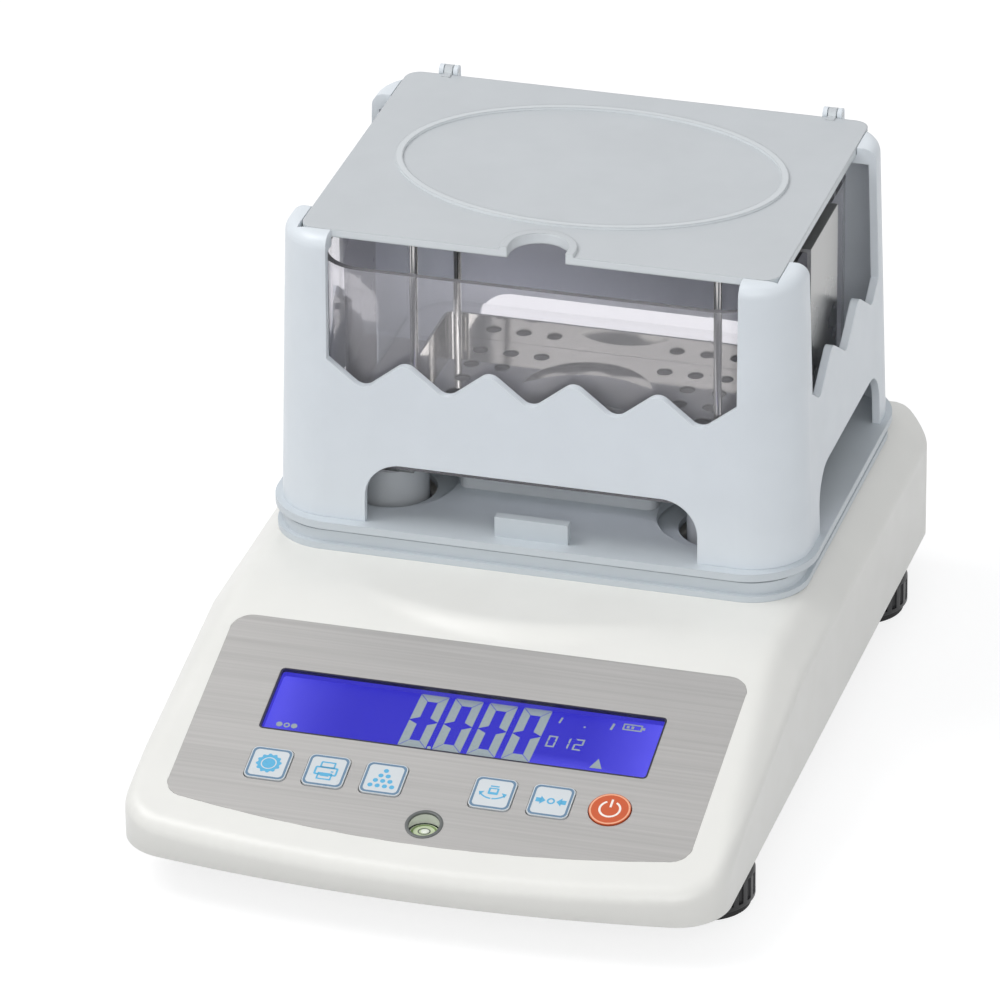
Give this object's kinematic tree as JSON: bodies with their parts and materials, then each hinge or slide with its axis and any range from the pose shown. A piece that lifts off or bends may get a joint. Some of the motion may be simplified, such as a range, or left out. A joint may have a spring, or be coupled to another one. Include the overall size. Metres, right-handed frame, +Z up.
{
  "type": "benchtop density meter",
  "caption": "Benchtop density meter: sloped keypad base with levelling feet, water tank with hanging basket on a weighing frame, under a lift-off wind shield with a hinged lid.",
  "frame": {"origin": "middle of the plane the rubber feet rest on, under the middle of the housing", "axes": "+X to the user's right, +Y to the back, +Z up"},
  "size_m": [0.224, 0.33, 0.1934],
  "materials": {
    "housing_white": "satin",
    "pan_grey": "matte",
    "shield_grey": "semi-gloss",
    "stand_grey": "matte",
    "panel_silver": "brushed",
    "clear_lens": "polished",
    "display_blue": "lit",
    "light_guide": "matte",
    "key_silver": "satin",
    "key_orange": "satin",
    "board_green": "lacquered",
    "component_black": "matte",
    "polished_stainless": "mirror polished",
    "screw_steel": "zinc plated",
    "cell_aluminium": "machined",
    "insert_brass": "machined",
    "foot_black": "satin",
    "foot_steel": "zinc plated",
    "foot_rubber": "matte",
    "tank_clear": "polished",
    "vial_green": "polished"
  },
  "bodies": {
    "base": {"base_pan": "pan_grey", "board_parts": "component_black", "board_screws": "screw_steel", "cell_base_block": "cell_aluminium", "cell_screws": "screw_steel", "chassis_plate": "cell_aluminium", "dc_jack": "component_black", "deck_plate": "shield_grey", "deck_screws": "screw_steel", "display_window": "clear_lens", "foot_inserts": "insert_brass", "housing_screws": "screw_steel", "key_switches": "component_black", "keypad_board": "board_green", "lcd_backlight": "light_guide", "lcd_module": "display_blue", "level_vial": "vial_green", "load_cell": "cell_aluminium", "main_board": "board_green", "overload_stops": "screw_steel", "panel_overlay": "panel_silver", "panel_screws": "screw_steel", "plate_pads": "foot_rubber", "serial_port": "screw_steel", "shield_base": "shield_grey", "stop_nuts": "screw_steel", "tank_stand": "stand_grey", "upper_housing": "housing_white", "water_tank": "tank_clear"},
    "shield": {"wind_shield": "shield_grey", "lid_hinge_pins": "screw_steel"},
    "lid": {"lid": "shield_grey"},
    "weighing_carrier": {"carrier_block": "cell_aluminium", "weighing_carrier": "cell_aluminium", "carrier_posts": "stand_grey", "carrier_screws": "screw_steel"},
    "weighing_frame": {"weighing_frame": "polished_stainless"},
    "basket": {"immersion_basket": "polished_stainless"},
    "set_key": {"set_key": "key_silver"},
    "print_key": {"print_key": "key_silver"},
    "enter_key": {"enter_key": "key_silver"},
    "mode_key": {"mode_key": "key_silver"},
    "zero_key": {"zero_key": "key_silver"},
    "power_key": {"power_key": "key_orange"},
    "foot_front_left": {"foot_pad_front_left": "foot_rubber"},
    "wheel_front_left": {"foot_wheel_front_left": "foot_black", "foot_stud_front_left": "foot_steel"},
    "foot_front_right": {"foot_pad_front_right": "foot_rubber"},
    "wheel_front_right": {"foot_wheel_front_right": "foot_black", "foot_stud_front_right": "foot_steel"},
    "foot_rear_left": {"foot_pad_rear_left": "foot_rubber"},
    "wheel_rear_left": {"foot_wheel_rear_left": "foot_black", "foot_stud_rear_left": "foot_steel"},
    "foot_rear_right": {"foot_pad_rear_right": "foot_rubber"},
    "wheel_rear_right": {"foot_wheel_rear_right": "foot_black", "foot_stud_rear_right": "foot_steel"}
  },
  "joints": [
    {"name": "shield_lift", "type": "slide", "parent": "base", "child": "shield", "axis": [0, 0, 1], "range_m": [0, 0.15]},
    {"name": "lid_hinge", "type": "hinge", "parent": "shield", "child": "lid", "pos_m": [0, 0.1512, 0.191], "axis": [-1, 0, 0], "range_deg": [0, 100]},
    {"name": "pan_sink", "type": "slide", "parent": "base", "child": "weighing_carrier", "axis": [0, 0, -1], "range_m": [0, 0.0004], "stiffness_N_per_m": 75000, "springref_m": -0.0001, "deforming": ["load_cell"]},
    {"name": "frame_lift", "type": "slide", "parent": "weighing_carrier", "child": "weighing_frame", "axis": [0, 0, 1], "range_m": [0, 0.0035]},
    {"name": "basket_lift", "type": "slide", "parent": "weighing_frame", "child": "basket", "axis": [0, 0, 1], "range_m": [0, 0.0035]},
    {"name": "set_key_press", "type": "slide", "parent": "base", "child": "set_key", "axis": [0, 0.2907, -0.9568], "range_m": [0, 0.0005], "stiffness_N_per_m": 1500, "springref_m": -0.0003},
    {"name": "print_key_press", "type": "slide", "parent": "base", "child": "print_key", "axis": [0, 0.2907, -0.9568], "range_m": [0, 0.0005], "stiffness_N_per_m": 1500, "springref_m": -0.0003},
    {"name": "enter_key_press", "type": "slide", "parent": "base", "child": "enter_key", "axis": [0, 0.2907, -0.9568], "range_m": [0, 0.0005], "stiffness_N_per_m": 1500, "springref_m": -0.0003},
    {"name": "mode_key_press", "type": "slide", "parent": "base", "child": "mode_key", "axis": [0, 0.2907, -0.9568], "range_m": [0, 0.0005], "stiffness_N_per_m": 1500, "springref_m": -0.0003},
    {"name": "zero_key_press", "type": "slide", "parent": "base", "child": "zero_key", "axis": [0, 0.2907, -0.9568], "range_m": [0, 0.0005], "stiffness_N_per_m": 1500, "springref_m": -0.0003},
    {"name": "power_key_press", "type": "slide", "parent": "base", "child": "power_key", "axis": [0, 0.2907, -0.9568], "range_m": [0, 0.0005], "stiffness_N_per_m": 1500, "springref_m": -0.0003},
    {"name": "foot_front_left_travel", "type": "slide", "parent": "base", "child": "foot_front_left", "axis": [0, 0, -1], "range_m": [-0.002, 0.006]},
    {"name": "wheel_front_left_turn", "type": "hinge", "parent": "foot_front_left", "child": "wheel_front_left", "pos_m": [-0.094, -0.106, 0.01], "axis": [0, 0, -1], "range_deg": [-576, 1728]},
    {"name": "foot_front_right_travel", "type": "slide", "parent": "base", "child": "foot_front_right", "axis": [0, 0, -1], "range_m": [-0.002, 0.006]},
    {"name": "wheel_front_right_turn", "type": "hinge", "parent": "foot_front_right", "child": "wheel_front_right", "pos_m": [0.094, -0.106, 0.01], "axis": [0, 0, -1], "range_deg": [-576, 1728]},
    {"name": "foot_rear_left_travel", "type": "slide", "parent": "base", "child": "foot_rear_left", "axis": [0, 0, -1], "range_m": [-0.002, 0.006]},
    {"name": "wheel_rear_left_turn", "type": "hinge", "parent": "foot_rear_left", "child": "wheel_rear_left", "pos_m": [-0.094, 0.1235, 0.01], "axis": [0, 0, -1], "range_deg": [-576, 1728]},
    {"name": "foot_rear_right_travel", "type": "slide", "parent": "base", "child": "foot_rear_right", "axis": [0, 0, -1], "range_m": [-0.002, 0.006]},
    {"name": "wheel_rear_right_turn", "type": "hinge", "parent": "foot_rear_right", "child": "wheel_rear_right", "pos_m": [0.094, 0.1235, 0.01], "axis": [0, 0, -1], "range_deg": [-576, 1728]}
  ],
  "couplings": [
    {"joint": "foot_front_left_travel", "follows": "wheel_front_left_turn", "m_per_rad": 0.00019894},
    {"joint": "foot_front_right_travel", "follows": "wheel_front_right_turn", "m_per_rad": 0.00019894},
    {"joint": "foot_rear_left_travel", "follows": "wheel_rear_left_turn", "m_per_rad": 0.00019894},
    {"joint": "foot_rear_right_travel", "follows": "wheel_rear_right_turn", "m_per_rad": 0.00019894}
  ]
}
